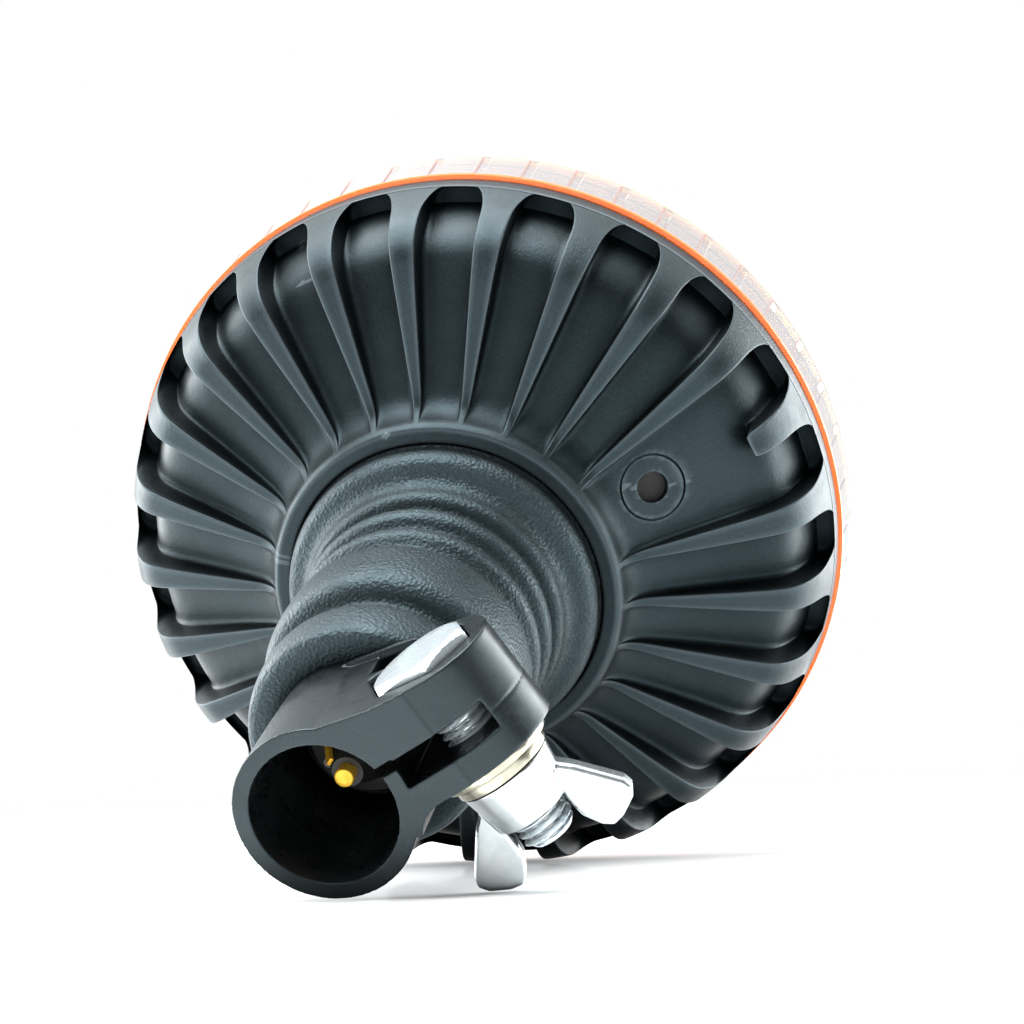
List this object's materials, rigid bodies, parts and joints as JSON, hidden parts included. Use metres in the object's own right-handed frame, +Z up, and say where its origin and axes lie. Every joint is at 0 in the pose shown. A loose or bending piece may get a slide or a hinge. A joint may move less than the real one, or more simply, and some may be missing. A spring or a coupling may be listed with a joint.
{
  "type": "rotating beacon",
  "caption": "Amber rotating warning beacon with a finned black base, a flexible rubber stem and a wing-nut clamp socket for a 25 mm mounting spigot.",
  "frame": {"origin": "centre of the clamp socket's mouth, on the bore axis", "axes": "+Z up the socket axis to the dome, +X towards the clamp ears and bolt, +Y towards the wing nut"},
  "size_m": [0.1596, 0.1596, 0.1726],
  "materials": {
    "housing_black": "matt fine-textured black powder coat",
    "boot_rubber": "matt grained rubber",
    "socket_black": "satin glass-filled plastic",
    "zinc": "bright zinc plate",
    "zinc_yellow": "yellow passivated zinc",
    "brass": "bright brass",
    "holder_black": "moulded black",
    "amber": "clear amber polycarbonate",
    "seal_rubber": "soft black seal",
    "chassis_grey": "moulded grey",
    "heat_post": "turned aluminium",
    "steel": "plain steel",
    "motor_metal": "drawn steel can",
    "gear_white": "natural acetal",
    "mirror": "vacuum metallised",
    "board_green": "solder resist",
    "board_white": "white solder resist on metal core",
    "led_yellow": "phosphor dome",
    "electronics": "moulded component bodies",
    "wire_red": "insulation",
    "wire_black": "insulation",
    "vent_dark": "dark breather film disc"
  },
  "bodies": {
    "socket": {"clamp_socket": "socket_black", "clamp_bolt": "zinc", "contact_holder": "holder_black", "holder_screws": "steel", "contact_terminal": "brass", "contact_spring": "steel", "ground_strip": "brass", "ground_lug": "brass", "flex_boot": "boot_rubber", "lead_live": "wire_red", "lead_ground": "wire_black"},
    "washers": {"flat_washer": "zinc_yellow", "spring_washer": "zinc_yellow"},
    "nut": {"wing_nut": "zinc"},
    "pin": {"contact_pin": "brass"},
    "stem": {"stem_sleeve": "holder_black"},
    "head": {"base_housing": "housing_black", "head_insert": "holder_black", "insert_screws": "steel", "lead_grommet": "seal_rubber", "vent_disc": "vent_dark", "lens_gasket": "seal_rubber", "lens": "amber", "chassis_plate": "chassis_grey", "chassis_screws": "steel", "led_post": "heat_post", "post_screws": "steel", "rotor_clip": "steel", "led_board": "board_white", "led_emitters": "led_yellow", "motor_can": "motor_metal", "motor_screws": "steel", "driver_board": "board_green", "driver_components": "electronics", "board_screws": "steel"},
    "rotor": {"rotor_gear": "gear_white", "reflector": "mirror", "reflector_screws": "steel"},
    "pinion": {"motor_pinion": "gear_white", "motor_shaft": "steel"}
  },
  "joints": [
    {"name": "washer_slide", "type": "slide", "parent": "socket", "child": "washers", "axis": [0, 1, 0], "range_m": [0, 0.003]},
    {"name": "wing_nut_turn", "type": "hinge", "parent": "washers", "child": "nut", "pos_m": [0.0243, 0.018, 0.0128], "axis": [0, 1, 0], "range_deg": [0, 720]},
    {"name": "contact_pin_press", "type": "slide", "parent": "socket", "child": "pin", "axis": [0, 0, 1], "range_m": [0, 0.0022], "stiffness_N_per_m": 1200, "springref_m": -0.002, "deforming": ["contact_spring"]},
    {"name": "stem_flex_low", "type": "hinge", "parent": "socket", "child": "stem", "pos_m": [0, 0, 0.04], "axis": [1, 0, 0], "range_deg": [-10, 10], "stiffness_Nm_per_rad": 45, "deforming": ["flex_boot", "lead_live", "lead_ground"]},
    {"name": "stem_flex_high", "type": "hinge", "parent": "stem", "child": "head", "pos_m": [0, 0, 0.068], "axis": [0, 1, 0], "range_deg": [-14, 14], "stiffness_Nm_per_rad": 45, "deforming": ["flex_boot", "lead_live", "lead_ground"]},
    {"name": "rotor_spin", "type": "hinge", "parent": "head", "child": "rotor", "pos_m": [0, 0, 0.134], "axis": [0, 0, 1], "continuous": true},
    {"name": "pinion_spin", "type": "hinge", "parent": "head", "child": "pinion", "pos_m": [-0.0288, 0, 0.134], "axis": [0, 0, 1], "continuous": true}
  ],
  "couplings": [
    {"joint": "wing_nut_turn", "follows": "washer_slide", "rad_per_m": 4188.8},
    {"joint": "pinion_spin", "follows": "rotor_spin", "ratio": -3}
  ]
}
